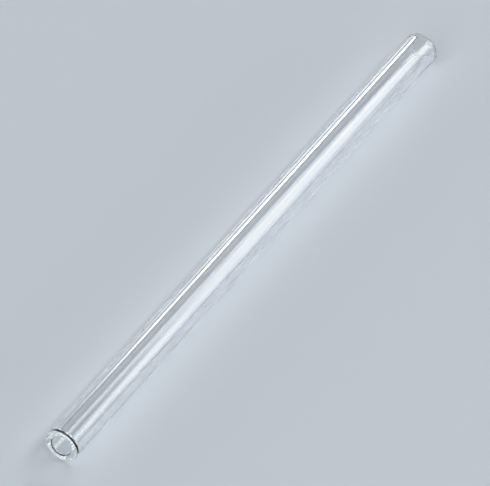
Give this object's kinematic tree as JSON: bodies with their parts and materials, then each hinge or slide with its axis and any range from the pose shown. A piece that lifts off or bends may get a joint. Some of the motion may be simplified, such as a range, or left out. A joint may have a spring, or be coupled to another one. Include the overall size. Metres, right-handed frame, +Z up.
{
  "type": "glass capillary tube",
  "caption": "Straight, clear glass capillary tube, open at both ends, with lightly fire-polished edges. Its whole bore draws up and holds a fixed small volume of liquid.",
  "frame": {"origin": "on the surface that the tube lies on, under the middle of its length; the axis of the bore is 0.75 mm above it", "axes": "+X along the axis of the bore, +Z up from the surface that the tube lies on, +Y across the tube; the two ends are alike, so either may point along +X"},
  "size_m": [0.03, 0.0014, 0.0015],
  "materials": {
    "clear_glass": "clear drawn glass, smooth, with fire-polished edges"
  },
  "bodies": {
    "root": {"tube": "clear_glass"}
  },
  "joints": []
}
